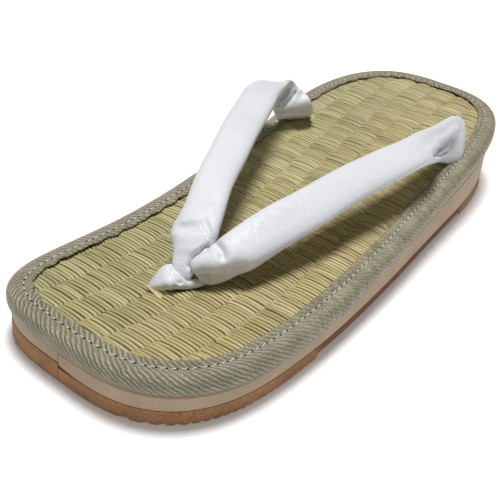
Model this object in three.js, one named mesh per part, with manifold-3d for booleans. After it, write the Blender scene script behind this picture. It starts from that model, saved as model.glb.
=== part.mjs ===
// A zori sandal for the left foot: wedge sole, bound rush mat, padded straps and a toe thong.
// Millimetres, +Z up. The toe points to -Y, the heel to +Y and the little-toe side to +X.
import * as THREE from 'three';
import { mergeVertices } from 'three/addons/utils/BufferGeometryUtils.js';
import Module from 'manifold-3d';

const wasm = await Module();
wasm.setup();

// Driving sizes
const LENGTH = 261;
const GAP = 0.3;
const SEAT_GAP = GAP / 2;
const STATIONS = 40;
const MAT_TOP = 6.0;
const MAT_INSET = 0.9;
const MAT_ROUND = { height: 4.4, inset: 2.9 };
const MIDSOLE_WALL = { foot: 0.2, ease: 1.2, lean: 0.5 };
const OUTSOLE_LIP = { bulge: 0.4, height: 0.8 };

// Plan of the sole: along is 0 at the toe tip and 1 at the heel tip
const PLAN = [
  { along: 0.00, centre: -3.8, half: 46.4 },
  { along: 0.06, centre: -0.2, half: 46.5 },
  { along: 0.13, centre: 2.7, half: 46.6 },
  { along: 0.26, centre: 4.7, half: 46.9 },
  { along: 0.45, centre: 2.7, half: 47.2 },
  { along: 0.60, centre: -0.8, half: 47.4 },
  { along: 0.75, centre: -4.0, half: 47.7 },
  { along: 0.90, centre: -5.3, half: 47.9 },
  { along: 1.00, centre: -4.0, half: 48.0 },
];
const TOE_CAP = { reach: 58, fullness: 3.3 };
const HEEL_CAP = { reach: 85, fullness: 3.0 };

// Heights of the layers: tread is the top of the outsole, seat the top of the midsole
const RISE = [
  { along: 0.00, tread: 6.0, seat: 13.3 },
  { along: 0.15, tread: 5.4, seat: 11.2 },
  { along: 0.33, tread: 5.0, seat: 11.9 },
  { along: 0.50, tread: 4.8, seat: 15.1 },
  { along: 0.66, tread: 4.7, seat: 19.2 },
  { along: 0.80, tread: 5.2, seat: 23.1 },
  { along: 1.00, tread: 5.6, seat: 27.6 },
];

// Underside: a raised waist between the forefoot and heel treads, which carry cross ripples
const WAIST = { from: -61, to: 69, clear: 2.3, slope: 1.5 };
const RIPPLE = { pitch: 6, mouth: 2.6, root: 1.0, depth: 1.3, margin: 4 };
const CUT_WIDTH = 130;
const CUT_BELOW = 0.01;

// Bound edge: its section as inset from the sole's wall and height above the seat
const BINDING = [
  { inset: -0.4, height: 0.15 },
  { inset: -1.1, height: 1.5 },
  { inset: -1.3, height: 3.6 },
  { inset: -0.9, height: 5.4 },
  { inset: 0.3, height: 6.7 },
  { inset: 2.0, height: 7.3 },
  { inset: 4.6, height: 7.0 },
  { inset: 6.6, height: 7.4 },
  { inset: 7.5, height: 7.1 },
  { inset: 7.7, height: 6.3 },
  { inset: 2.8, height: 6.3 },
  { inset: 1.0, height: 4.9 },
  { inset: 0.6, height: 3.2 },
  { inset: 0.6, height: 0.15 },
];

// Straps: centre of each section, its lift above the mat, the heading and pitch of its wide
// axis in degrees, and its width and thickness. Rows run from the knot to the tail in the mat
const OUTER_STRAP = [
  { x: 5.0, y: -75.4, lift: 4.6, heading: -60, pitch: -20, width: 7, thick: 5 },
  { x: 7.4, y: -73.8, lift: 6.2, heading: -55, pitch: -25, width: 12, thick: 6.5 },
  { x: 11.7, y: -70.5, lift: 9.0, heading: -42, pitch: -28, width: 14.5, thick: 7 },
  { x: 14.6, y: -64.2, lift: 11.5, heading: -25, pitch: -28, width: 15.5, thick: 7 },
  { x: 18.5, y: -48.6, lift: 15.5, heading: -14, pitch: -28, width: 16.5, thick: 6.5 },
  { x: 22.4, y: -31.0, lift: 18.0, heading: -10, pitch: -28, width: 16, thick: 6.5 },
  { x: 25.6, y: -10.0, lift: 19.5, heading: -9, pitch: -28, width: 15, thick: 6.5 },
  { x: 29.4, y: 12.0, lift: 19.5, heading: -8, pitch: -27, width: 14.2, thick: 6.2 },
  { x: 32.4, y: 31.0, lift: 18.5, heading: -5, pitch: -25, width: 13.6, thick: 6 },
  { x: 33.4, y: 48.0, lift: 17.4, heading: -8, pitch: -25, width: 13.4, thick: 5.6 },
  { x: 33.8, y: 59.0, lift: 16.8, heading: -14, pitch: -23, width: 13.2, thick: 5.4 },
  { x: 34.6, y: 66.0, lift: 13.6, heading: -30, pitch: -16, width: 12.5, thick: 6.0 },
  { x: 34.2, y: 66.2, lift: 8.0, heading: -33, pitch: -4, width: 11.5, thick: 6.6 },
  { x: 32.2, y: 64.2, lift: 3.8, heading: -30, pitch: 0, width: 10.5, thick: 6.6 },
  { x: 30.6, y: 62.6, lift: 0.4, heading: -30, pitch: 0, width: 9, thick: 6 },
  { x: 30.2, y: 62.2, lift: -5.3, heading: -30, pitch: 0, width: 8.5, thick: 5.5 },
];
const INNER_STRAP = [
  { x: 4.0, y: -80.0, lift: 3.5, heading: 215, pitch: -5, width: 6, thick: 4 },
  { x: 2.0, y: -76.8, lift: 6.8, heading: 215, pitch: -8, width: 8.5, thick: 5 },
  { x: 0.8, y: -72.6, lift: 10.0, heading: 213, pitch: -10, width: 12.5, thick: 6 },
  { x: -1.8, y: -68.0, lift: 13.0, heading: 212, pitch: -12, width: 16.2, thick: 7 },
  { x: -5.8, y: -58.8, lift: 17.0, heading: 207, pitch: -12, width: 15.2, thick: 6.5 },
  { x: -13.2, y: -44.6, lift: 20.5, heading: 206, pitch: -10, width: 14.8, thick: 6.5 },
  { x: -20.5, y: -28.0, lift: 22.5, heading: 204, pitch: -10, width: 15.2, thick: 6.5 },
  { x: -28.4, y: -10.6, lift: 23.7, heading: 204, pitch: -10, width: 15.5, thick: 6.5 },
  { x: -37.2, y: 10.3, lift: 23.9, heading: 204, pitch: -10, width: 15.8, thick: 6.2 },
  { x: -42.2, y: 23.5, lift: 23.2, heading: 206, pitch: -8, width: 16.5, thick: 5.6 },
  { x: -43.8, y: 33.0, lift: 21.0, heading: 212, pitch: -4, width: 17.5, thick: 4.8 },
  { x: -43.2, y: 40.6, lift: 14.6, heading: 220, pitch: 0, width: 17, thick: 4.4 },
  { x: -40.8, y: 46.2, lift: 8.6, heading: 226, pitch: 0, width: 16, thick: 4.2 },
  { x: -38.2, y: 49.6, lift: 3.4, heading: 228, pitch: 0, width: 12, thick: 4 },
  { x: -37.2, y: 50.8, lift: -1.0, heading: 228, pitch: 0, width: 10.5, thick: 4 },
  { x: -36.8, y: 51.2, lift: -5.3, heading: 228, pitch: 0, width: 10, thick: 4 },
];
const THONG = [
  { x: 7.6, y: -78.9, lift: 3.6, heading: 313, pitch: -30, width: 6, thick: 4 },
  { x: 5.2, y: -81.3, lift: 4.2, heading: 313, pitch: -30, width: 8.5, thick: 6.5 },
  { x: 2.2, y: -84.2, lift: 3.4, heading: 313, pitch: -25, width: 8, thick: 6 },
  { x: -0.8, y: -86.8, lift: 1.2, heading: 313, pitch: -15, width: 6, thick: 4.5 },
  { x: -2.4, y: -88.2, lift: -1.5, heading: 313, pitch: 0, width: 5, thick: 3.2 },
  { x: -2.8, y: -88.6, lift: -5.3, heading: 313, pitch: 0, width: 4.5, thick: 3 },
];
const STRAP_SIDES = 14;
const STRAP_STEPS = 3;
const SECTION_POWER = 2.5;
const RUN_STEP = 0.05;

// Smooth curve through one column of a table
function columnCurve(rows, place, column) {
  const places = rows.map(place);
  const values = rows.map((row) => row[column]);
  const curve = new THREE.CubicInterpolant(places, values, 1);
  return (where) => curve.evaluate(where)[0];
}

const byAlong = (row) => row.along;
const centreAt = columnCurve(PLAN, byAlong, 'centre');
const halfAt = columnCurve(PLAN, byAlong, 'half');
const treadCurve = columnCurve(RISE, byAlong, 'tread');
const seatCurve = columnCurve(RISE, byAlong, 'seat');

function alongAt(y) {
  return THREE.MathUtils.clamp(y / LENGTH + 0.5, 0, 1);
}

const treadAt = (y) => treadCurve(alongAt(y));
const seatAt = (y) => seatCurve(alongAt(y));

// Share of the full width inside a rounded end, at a distance from its tip
function capShare(distance, cap) {
  const share = Math.min(distance / cap.reach, 1);
  return (1 - (1 - share) ** cap.fullness) ** (1 / cap.fullness);
}

// Outline of the sole at an inset: up the outer side to the heel and back down the inner side
function outlineLoop(inset) {
  const edge = [];
  for (let k = 0; k < 2 * STATIONS; k++) {
    const turn = (Math.PI * k) / STATIONS;
    const y = -0.5 * LENGTH * Math.cos(turn);
    const caps = capShare(0.5 * LENGTH + y, TOE_CAP) * capShare(0.5 * LENGTH - y, HEEL_CAP);
    const side = k <= STATIONS ? 1 : -1;
    edge.push(new THREE.Vector2(centreAt(alongAt(y)) + side * halfAt(alongAt(y)) * caps, y));
  }
  return edge.map((point, k) => {
    const ahead = edge[(k + 1) % edge.length];
    const behind = edge[(k + edge.length - 1) % edge.length];
    const run = ahead.clone().sub(behind).normalize();
    return new THREE.Vector2(point.x - inset * run.y, point.y + inset * run.x);
  });
}

function toSolid(positions, triangles) {
  return new wasm.Manifold(new wasm.Mesh({
    numProp: 3,
    vertProperties: new Float32Array(positions.flatMap((p) => [p.x, p.y, p.z])),
    triVerts: new Uint32Array(triangles.flat()),
  }));
}

function geometrySolid(source) {
  const bare = source.clone();
  bare.deleteAttribute('normal');
  bare.deleteAttribute('uv');
  const merged = mergeVertices(bare);
  return new wasm.Manifold(new wasm.Mesh({
    numProp: 3,
    vertProperties: new Float32Array(merged.attributes.position.array),
    triVerts: new Uint32Array(merged.index.array),
  }));
}

// Triangles of the band between two neighbouring loops of the same count
function bandTriangles(lower, upper, count) {
  const triangles = [];
  for (let k = 0; k < count; k++) {
    const next = (k + 1) % count;
    triangles.push([lower + k, lower + next, upper + next]);
    triangles.push([lower + k, upper + next, upper + k]);
  }
  return triangles;
}

// Triangles across a loop, from the outer side to the inner side, from toe to heel
function capTriangles(first, facesUp) {
  const triangles = [];
  const mate = (k) => first + ((2 * STATIONS - k) % (2 * STATIONS));
  const push = (a, b, c) => triangles.push(facesUp ? [a, b, c] : [a, c, b]);
  for (let k = 0; k < STATIONS; k++) {
    if (k + 1 < STATIONS) push(first + k, first + k + 1, mate(k + 1));
    if (k > 0) push(first + k, k + 1 < STATIONS ? mate(k + 1) : first + STATIONS, mate(k));
  }
  return triangles;
}

// Slab with the sole's outline: each level has an inset and a height over the length
function slab(levels) {
  const count = 2 * STATIONS;
  const positions = [];
  const triangles = [];
  levels.forEach(({ inset, height }, level) => {
    outlineLoop(inset).forEach((p) => positions.push(new THREE.Vector3(p.x, p.y, height(p.y))));
    if (level > 0) triangles.push(...bandTriangles((level - 1) * count, level * count, count));
  });
  triangles.push(...capTriangles(0, false));
  triangles.push(...capTriangles((levels.length - 1) * count, true));
  return toSolid(positions, triangles);
}

// Ring of a closed section carried round the sole's outline
function edgeRing(section) {
  const count = 2 * STATIONS;
  const positions = [];
  const triangles = [];
  section.forEach(({ inset, height }, level) => {
    outlineLoop(inset).forEach((p) => {
      positions.push(new THREE.Vector3(p.x, p.y, seatAt(p.y) + height));
    });
    triangles.push(...bandTriangles(level * count, ((level + 1) % section.length) * count, count));
  });
  return toSolid(positions, triangles);
}

// Bar across the sole with a profile drawn in the Y-Z plane
function crossBar(profile) {
  const shape = new THREE.Shape(profile.map(([y, z]) => new THREE.Vector2(y, z)));
  const bar = new THREE.ExtrudeGeometry(shape, { depth: CUT_WIDTH, bevelEnabled: false });
  const turn = new THREE.Matrix4().makeBasis(
    new THREE.Vector3(0, 1, 0), new THREE.Vector3(0, 0, 1), new THREE.Vector3(1, 0, 0));
  bar.applyMatrix4(turn);
  bar.translate(-CUT_WIDTH / 2, 0, 0);
  return geometrySolid(bar);
}

function waistCut() {
  const { from, to, clear, slope } = WAIST;
  return crossBar([
    [from - slope, -CUT_BELOW], [to + slope, -CUT_BELOW], [to, clear], [from, clear],
  ]);
}

function rippleCut(y) {
  const { mouth, root, depth } = RIPPLE;
  const lip = mouth / 2;
  const floor = root / 2;
  return crossBar([
    [y - lip, -CUT_BELOW], [y + lip, -CUT_BELOW], [y + floor, depth], [y - floor, depth],
  ]);
}

// Centres of the ripples between two ends of a tread
function ripplePlaces(from, to) {
  const places = [];
  for (let y = from + RIPPLE.margin; y < to - RIPPLE.margin; y += RIPPLE.pitch) places.push(y);
  return places;
}

// Padded band along a table of sections, widened on every side by grow
function band(rows, grow) {
  const byRow = (row) => rows.indexOf(row);
  const at = {};
  for (const column of Object.keys(rows[0])) at[column] = columnCurve(rows, byRow, column);
  const centre = (s) => {
    const y = at.y(s);
    return new THREE.Vector3(at.x(s), y, seatAt(y) + MAT_TOP + at.lift(s));
  };
  const last = rows.length - 1;
  const steps = last * STRAP_STEPS;
  const positions = [];
  const triangles = [];
  for (let i = 0; i <= steps; i++) {
    const s = (last * i) / steps;
    const here = centre(s);
    const ahead = centre(Math.min(s + RUN_STEP, last));
    const run = ahead.sub(centre(Math.max(s - RUN_STEP, 0))).normalize();
    const heading = THREE.MathUtils.degToRad(at.heading(s));
    const pitch = THREE.MathUtils.degToRad(at.pitch(s));
    const wide = new THREE.Vector3(
      Math.cos(heading) * Math.cos(pitch), Math.sin(heading) * Math.cos(pitch), Math.sin(pitch));
    wide.addScaledVector(run, -wide.dot(run)).normalize();
    const thin = new THREE.Vector3().crossVectors(run, wide);
    const endGrow = i === 0 ? -grow : i === steps ? grow : 0;
    for (let k = 0; k < STRAP_SIDES; k++) {
      const turn = (2 * Math.PI * k) / STRAP_SIDES;
      const round = (v) => Math.sign(v) * Math.abs(v) ** (2 / SECTION_POWER);
      positions.push(here.clone()
        .addScaledVector(run, endGrow)
        .addScaledVector(wide, (at.width(s) / 2 + grow) * round(Math.cos(turn)))
        .addScaledVector(thin, (at.thick(s) / 2 + grow) * round(Math.sin(turn))));
    }
    if (i > 0) triangles.push(...bandTriangles((i - 1) * STRAP_SIDES, i * STRAP_SIDES, STRAP_SIDES));
  }
  const end = steps * STRAP_SIDES;
  for (let k = 1; k < STRAP_SIDES - 1; k++) {
    triangles.push([0, k + 1, k]);
    triangles.push([end, end + k, end + k + 1]);
  }
  return toSolid(positions, triangles);
}

function outsole() {
  const blank = slab([
    { inset: 0, height: () => 0 },
    { inset: -OUTSOLE_LIP.bulge, height: () => OUTSOLE_LIP.height },
    { inset: 0, height: (y) => treadAt(y) - SEAT_GAP },
  ]);
  const half = 0.5 * LENGTH;
  const places = [...ripplePlaces(-half, WAIST.from), ...ripplePlaces(WAIST.to, half)];
  return places.reduce((body, y) => body.subtract(rippleCut(y)), blank.subtract(waistCut()));
}

function midsole() {
  return slab([
    { inset: MIDSOLE_WALL.foot, height: (y) => treadAt(y) + SEAT_GAP },
    { inset: 0, height: (y) => treadAt(y) + MIDSOLE_WALL.ease },
    { inset: MIDSOLE_WALL.lean, height: (y) => seatAt(y) - SEAT_GAP },
  ]);
}

function matFootbed() {
  const board = slab([
    { inset: MAT_INSET, height: (y) => seatAt(y) + SEAT_GAP },
    { inset: MAT_INSET, height: (y) => seatAt(y) + MAT_ROUND.height },
    { inset: MAT_ROUND.inset, height: (y) => seatAt(y) + MAT_TOP },
  ]);
  return board
    .subtract(band(OUTER_STRAP, GAP))
    .subtract(band(INNER_STRAP, GAP))
    .subtract(band(THONG, GAP));
}

function strapUpper() {
  return band(OUTER_STRAP, 0).add(band(INNER_STRAP, 0)).subtract(band(THONG, GAP));
}

function toNode(name, solid, color, roughness) {
  const { vertProperties, triVerts } = solid.getMesh();
  const geometry = new THREE.BufferGeometry();
  geometry.setAttribute('position', new THREE.BufferAttribute(vertProperties, 3));
  geometry.setIndex(new THREE.BufferAttribute(triVerts, 1));
  geometry.computeVertexNormals();
  const material = new THREE.MeshStandardMaterial({ color, roughness, metalness: 0 });
  const mesh = new THREE.Mesh(geometry, material);
  mesh.name = name;
  return mesh;
}

const zori = new THREE.Group();
zori.add(
  toNode('outsole', outsole(), 0xa5734b, 0.8),
  toNode('midsole', midsole(), 0xbfab98, 0.7),
  toNode('mat_footbed', matFootbed(), 0xc3b988, 0.75),
  toNode('edge_binding', edgeRing(BINDING), 0x96968a, 0.5),
  toNode('strap_upper', strapUpper(), 0xe3e7ee, 0.35),
  toNode('toe_thong', band(THONG, 0), 0xe3e7ee, 0.4),
);

export default zori;
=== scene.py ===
# %% [markdown]
# # Dressing a zori sandal
# A zori is a flat thong sandal: a foam wedge on a rubber outsole, a woven rush mat bound at
# its edge, and two padded straps that a thong pulls into the toe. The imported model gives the
# solids. This lesson lays the visible skin over them, piece by piece, in the same frame.

# %% Load the packed sandal
import math

import bpy
import numpy as np
from mathutils import Matrix, Vector


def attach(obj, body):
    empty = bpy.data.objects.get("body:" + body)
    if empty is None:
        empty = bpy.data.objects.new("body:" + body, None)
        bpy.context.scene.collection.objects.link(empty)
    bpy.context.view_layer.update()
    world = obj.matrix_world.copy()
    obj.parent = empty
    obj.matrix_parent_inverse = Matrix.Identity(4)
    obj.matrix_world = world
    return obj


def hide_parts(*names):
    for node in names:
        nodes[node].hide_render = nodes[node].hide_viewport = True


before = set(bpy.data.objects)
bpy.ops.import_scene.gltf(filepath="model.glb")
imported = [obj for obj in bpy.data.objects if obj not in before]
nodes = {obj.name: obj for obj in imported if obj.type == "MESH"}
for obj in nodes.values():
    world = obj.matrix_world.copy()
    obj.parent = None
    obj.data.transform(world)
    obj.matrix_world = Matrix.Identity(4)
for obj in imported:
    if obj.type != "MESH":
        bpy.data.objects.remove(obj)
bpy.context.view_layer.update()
MM = 0.001
print("nodes:", sorted(nodes))

# %% [markdown]
# ## The camera
# The picture was taken close up, from the toe's outer side and a little tilted. The camera is
# given by the turn and rise of its line of sight, its roll, its distance and its focal length
# in pixels, because those five are what one solves for when a view is matched.

# %% Set the camera
PICTURE = 500
FOCAL_PIXELS = 799
SENSOR = 36.0
VIEW_TURN = math.radians(35.12)
VIEW_RISE = math.radians(33.8)
VIEW_ROLL = math.radians(6.01)
VIEW_DISTANCE = 317.75
NEAREST = 0.01
LOOK_AT = Vector((1.11, -36.85, 10.0))


def sight_axes():
    back = Vector((
        math.sin(VIEW_TURN) * math.cos(VIEW_RISE),
        -math.cos(VIEW_TURN) * math.cos(VIEW_RISE),
        math.sin(VIEW_RISE),
    ))
    level = Vector((math.cos(VIEW_TURN), math.sin(VIEW_TURN), 0.0))
    upright = back.cross(level)
    right = level * math.cos(VIEW_ROLL) + upright * math.sin(VIEW_ROLL)
    up = upright * math.cos(VIEW_ROLL) - level * math.sin(VIEW_ROLL)
    return right, up, back


def set_camera():
    right, up, back = sight_axes()
    lens = bpy.data.cameras.new("camera")
    lens.sensor_width = SENSOR
    lens.lens = FOCAL_PIXELS * SENSOR / PICTURE
    lens.clip_start = NEAREST
    camera = bpy.data.objects.new("camera", lens)
    place = (LOOK_AT + back * VIEW_DISTANCE) * MM
    turn = Matrix((right, up, back)).transposed()
    camera.matrix_world = Matrix.Translation(place) @ turn.to_4x4()
    bpy.context.scene.collection.objects.link(camera)
    bpy.context.scene.camera = camera
    return camera


camera = set_camera()
print("camera at", [round(v, 3) for v in camera.location], "lens", round(camera.data.lens, 1))

# %% [markdown]
# ## Finishes are small node trees
# Each finish starts from the Principled shader. A few helpers keep the trees short: one adds
# a node and feeds its sockets, with a value or with another node's output, one starts a
# material, and others mix colours or raise a grain. A value that is the same all over goes
# straight on the shader's own socket.

# %% Helpers for node trees
def socket_named(sockets, name):
    return next(s for s in sockets if s.name == name and s.enabled)


def step(tree, kind, feeds=None, **settings):
    """Adds a node, sets its properties, and feeds its inputs with values or outputs."""
    node = tree.nodes.new(kind)
    for name, value in settings.items():
        setattr(node, name, value)
    for name, feed in (feeds or {}).items():
        target = node.inputs[name] if isinstance(name, int) else socket_named(node.inputs, name)
        if isinstance(feed, bpy.types.NodeSocket):
            tree.links.new(feed, target)
        elif isinstance(feed, bpy.types.Node):
            tree.links.new(next(s for s in feed.outputs if s.enabled), target)
        else:
            target.default_value = feed
    return node


def calc(tree, operation, *feeds):
    node = step(tree, "ShaderNodeMath", dict(enumerate(feeds)), operation=operation)
    return node.outputs[0]


def blend_vector(tree, **parts):
    """A vector from its X, Y and Z."""
    return step(tree, "ShaderNodeCombineXYZ", parts)


def split_vector(tree, vector):
    return step(tree, "ShaderNodeSeparateXYZ", {"Vector": vector}).outputs


def spread(tree, value, low, high, start=0.0, end=1.0):
    """Stretches the values between two limits over a new range."""
    return step(tree, "ShaderNodeMapRange", {
        "Value": value, "From Min": low, "From Max": high,
        "To Min": start, "To Max": end}).outputs["Result"]


print("node helpers:", [helper.__name__ for helper in (step, calc, blend_vector, split_vector, spread)])

# %% Helpers for finishes
def start_finish(name, roughness, values=None):
    finish = bpy.data.materials.new(name)
    finish.use_nodes = True
    tree = finish.node_tree
    shader = tree.nodes["Principled BSDF"]
    shader.inputs["Roughness"].default_value = roughness
    for label, value in (values or {}).items():
        shader.inputs[label].default_value = value
    return finish, tree, shader


def linear(red, green, blue):
    """Screen colour from 0 to 255 as the linear colour that a shader mixes."""
    shares = [c / 255 for c in (red, green, blue)]
    return [c / 12.92 if c <= 0.04045 else ((c + 0.055) / 1.055) ** 2.4 for c in shares] + [1.0]


def ramp(tree, feed, stops):
    """Colour ramp with a list of (place, colour) stops."""
    node = step(tree, "ShaderNodeValToRGB", {"Fac": feed})
    band = node.color_ramp
    while len(band.elements) < len(stops):
        band.elements.new(1.0)
    for element, (place, colour) in zip(band.elements, stops):
        element.position = place
        element.color = colour
    return node.outputs["Color"]


def mix_colour(tree, share, first, second, blend="MIX"):
    feeds = {"Factor": share, "A": first, "B": second}
    node = step(tree, "ShaderNodeMix", feeds, data_type="RGBA", blend_type=blend)
    return socket_named(node.outputs, "Result")


def grain_noise(tree, vector, scale, detail=4.0):
    feeds = {"Vector": vector, "Scale": scale, "Detail": detail}
    return step(tree, "ShaderNodeTexNoise", feeds).outputs["Fac"]


def object_place(tree):
    return step(tree, "ShaderNodeTexCoord").outputs["Object"]


def mark(tree, name):
    """Reads a mark that the mesh carries."""
    return step(tree, "ShaderNodeAttribute", attribute_name=name).outputs["Fac"]


def paint(tree, shader, colour):
    tree.links.new(colour, shader.inputs["Base Color"])


def bump(tree, shader, height, distance, strength):
    """Raises the finish by a height, over a distance in millimetres."""
    feeds = {"Height": height, "Distance": distance * MM, "Strength": strength}
    node = step(tree, "ShaderNodeBump", feeds)
    tree.links.new(node.outputs["Normal"], shader.inputs["Normal"])


def mottled_finish(name, roughness, scale, low, high, detail=4.0, values=None, relief=None):
    """Finish that one noise mottles between two screen colours, and raises where asked."""
    finish, tree, shader = start_finish(name, roughness, values)
    mottle = grain_noise(tree, object_place(tree), scale, detail)
    paint(tree, shader, ramp(tree, mottle, [(0.3, linear(*low)), (0.7, linear(*high))]))
    if relief:
        bump(tree, shader, mottle, **relief)
    return finish


WHITE = linear(255, 255, 255)
print("white in linear light:", WHITE)

# %% [markdown]
# ## Floor and light
# A pale floor and one broad lamp overhead, with a weak one from the outer side. The broad
# lamp stands a little to the heel and inner side, so that each strap throws a soft shadow on
# the mat below it. The floor glows a little, as a white table top does in a bright room, and
# the sky is faint and warm.

# %% Lay the floor and hang the lamps
FLOOR_SIDE = 6.0
KEY = {"place": (-0.30, 0.24, 2.45), "size": 0.85, "power": 63.0}
SIDE = {"place": (1.6, -0.3, 1.3), "size": 1.2, "power": 2.2}
SKY_STRENGTH = 0.09
SKY_COLOUR = (1.0, 0.95, 0.88, 1.0)
TABLE_GLOW = 0.16


def lay_floor():
    half = FLOOR_SIDE / 2
    mesh = bpy.data.meshes.new("floor")
    corners = [(-half, -half, 0), (half, -half, 0), (half, half, 0), (-half, half, 0)]
    mesh.from_pydata(corners, [], [(0, 1, 2, 3)])
    mesh.materials.append(mottled_finish(
        "floor_pale", roughness=0.9, scale=3.0, low=(250, 250, 250), high=(253, 253, 253),
        values={"Emission Color": WHITE, "Emission Strength": TABLE_GLOW}))
    floor = bpy.data.objects.new("floor", mesh)
    bpy.context.scene.collection.objects.link(floor)


def hang_lamp(name, lamp):
    light = bpy.data.lights.new(name, "AREA")
    light.shape = "DISK"
    light.size = lamp["size"]
    light.energy = lamp["power"]
    holder = bpy.data.objects.new(name, light)
    holder.location = lamp["place"]
    holder.rotation_euler = (-Vector(lamp["place"])).to_track_quat("-Z", "Y").to_euler()
    bpy.context.scene.collection.objects.link(holder)
    return holder


lay_floor()
lamps = [hang_lamp("lamp_overhead", KEY), hang_lamp("lamp_side", SIDE)]
sky = bpy.data.worlds.new("sky")
sky.use_nodes = True
sky.node_tree.nodes["Background"].inputs["Color"].default_value = SKY_COLOUR
sky.node_tree.nodes["Background"].inputs["Strength"].default_value = SKY_STRENGTH
bpy.context.scene.world = sky
bpy.context.scene.view_settings.view_transform = "Standard"
print("lamps:", [(lamp.name, lamp.data.energy) for lamp in lamps])

# %% [markdown]
# ## The sole's plan and rise
# A sole is drawn as a plan and a side view. The plan is a centre line and a half width along
# the length, with a rounded toe and heel. The side view is the height of each layer along
# the length. Short tables hold both, in millimetres, and a smooth curve runs through them.

# %% Tables of the sole
LENGTH = 261
STATIONS = 150
STATION_DIGITS = 6


def table(columns, *rows):
    """Rows of numbers as a table with named columns."""
    return [dict(zip(columns.split(), row)) for row in rows]


PLAN = table(
    "along centre half",
    (0.00, -3.8, 46.4),
    (0.06, -0.2, 46.5),
    (0.13, 2.7, 46.6),
    (0.26, 4.7, 46.9),
    (0.45, 2.7, 47.2),
    (0.60, -0.8, 47.4),
    (0.75, -4.0, 47.7),
    (0.90, -5.3, 47.9),
    (1.00, -4.0, 48.0),
)
RISE = table(
    "along tread seat",
    (0.00, 6.0, 13.3),
    (0.15, 5.4, 11.2),
    (0.33, 5.0, 11.9),
    (0.50, 4.8, 15.1),
    (0.66, 4.7, 19.2),
    (0.80, 5.2, 23.1),
    (1.00, 5.6, 27.6),
)
TOE_CAP = {"reach": 58, "fullness": 3.3}
HEEL_CAP = {"reach": 85, "fullness": 3.0}
print("rows of the plan and the rise:", len(PLAN), len(RISE))

# %% Curves through the tables
def column_curve(rows, places, name):
    """Smooth curve through one column: each row's slope is the mean of its two sides."""
    where = np.array(places, float)
    values = np.array([row[name] for row in rows], float)
    sides = np.diff(values) / np.diff(where)
    slopes = np.concatenate([sides[:1], (sides[1:] + sides[:-1]) / 2, sides[-1:]])

    def at(place):
        place = np.clip(np.asarray(place, float), where[0], where[-1])
        i = np.clip(np.searchsorted(where, place, side="right") - 1, 0, len(where) - 2)
        run = where[i + 1] - where[i]
        t = (place - where[i]) / run
        start = (1 + 2 * t) * (1 - t) ** 2 * values[i] + t * (1 - t) ** 2 * run * slopes[i]
        end = t ** 2 * (3 - 2 * t) * values[i + 1] - t ** 2 * (1 - t) * run * slopes[i + 1]
        return start + end

    return at


def along(y):
    return np.asarray(y, float) / LENGTH + 0.5


centre_line = column_curve(PLAN, [row["along"] for row in PLAN], "centre")
half_width = column_curve(PLAN, [row["along"] for row in PLAN], "half")
tread_curve = column_curve(RISE, [row["along"] for row in RISE], "tread")
seat_curve = column_curve(RISE, [row["along"] for row in RISE], "seat")


def tread_height(y):
    return tread_curve(along(y))


def seat_height(y):
    return seat_curve(along(y))


print("seat at toe, middle, heel:", seat_height([-LENGTH / 2, 0, LENGTH / 2]).round(1))

# %% Outline of the sole
def end_share(distance, cap):
    share = np.clip(distance / cap["reach"], 0, 1)
    return (1 - (1 - share) ** cap["fullness"]) ** (1 / cap["fullness"])


def sole_stations(breaks=()):
    """Places along the sole, closer at its ends, with a place at every break of the tread."""
    even = -0.5 * LENGTH * np.cos(np.pi * np.arange(STATIONS + 1) / STATIONS)
    return np.unique(np.round(np.concatenate([even, np.array(breaks, float)]), STATION_DIGITS))


def inward(edge):
    """Unit vectors in the plan that point into the outline, one for each of its points."""
    run = np.roll(edge, -1, 0) - np.roll(edge, 1, 0)
    run /= np.linalg.norm(run, axis=1, keepdims=True)
    return np.stack([-run[:, 1], run[:, 0]], 1)


def sole_loop(stations, inset):
    """Outline at an inset: along the outer side to the heel, back along the inner side."""
    share = end_share(LENGTH / 2 + stations, TOE_CAP) * end_share(LENGTH / 2 - stations, HEEL_CAP)
    centre = centre_line(along(stations))
    half = half_width(along(stations)) * share
    outer = np.stack([centre + half, stations], 1)
    inner = np.stack([centre - half, stations], 1)[-2:0:-1]
    edge = np.concatenate([outer, inner])
    return edge + inset * inward(edge)


plain_loop = sole_loop(sole_stations(), 0.0)
print("outline in mm:", plain_loop.min(0).round(1), plain_loop.max(0).round(1))

# %% [markdown]
# ## Lofting
# Most pieces here are lofts: rings of points joined by quads. One function joins the rings
# of a strap or a binding. Another makes a slab with the sole's outline, whose top and bottom
# are laddered from side to side. The wall of the sole is one strip that meets itself in a butt
# joint at the tip of the toe, so a slab has a narrow notch there.

# %% Helpers that make meshes
JOINT_NOTCH = 0.45
SHARP_EDGE = math.radians(40)


def make_piece(name, points, faces, finish):
    mesh = bpy.data.meshes.new(name)
    mesh.from_pydata((np.asarray(points, float) * MM).tolist(), [], faces)
    mesh.polygons.foreach_set("use_smooth", [True] * len(mesh.polygons))
    mesh.materials.append(finish)
    piece = bpy.data.objects.new(name, mesh)
    bpy.context.scene.collection.objects.link(piece)
    return piece


def ring_faces(rings, sides, first=0, closed=False):
    faces = []
    for i in range(rings if closed else rings - 1):
        here = first + i * sides
        there = first + ((i + 1) % rings) * sides
        for j in range(sides):
            k = (j + 1) % sides
            faces.append((here + j, here + k, there + k, there + j))
    return faces


def slab_faces(levels, stations):
    """Walls between the levels, and a ladder of quads across the first and the last."""
    count = 2 * (stations - 1)
    faces = ring_faces(levels, count)
    for first, upward in ((0, False), ((levels - 1) * count, True)):
        for k in range(stations - 1):
            rung = (k, k + 1, (count - k - 1) % count, (count - k) % count)
            corners = [first + corner for corner in dict.fromkeys(rung)]
            faces.append(tuple(corners if upward else corners[::-1]))
    return faces


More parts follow.
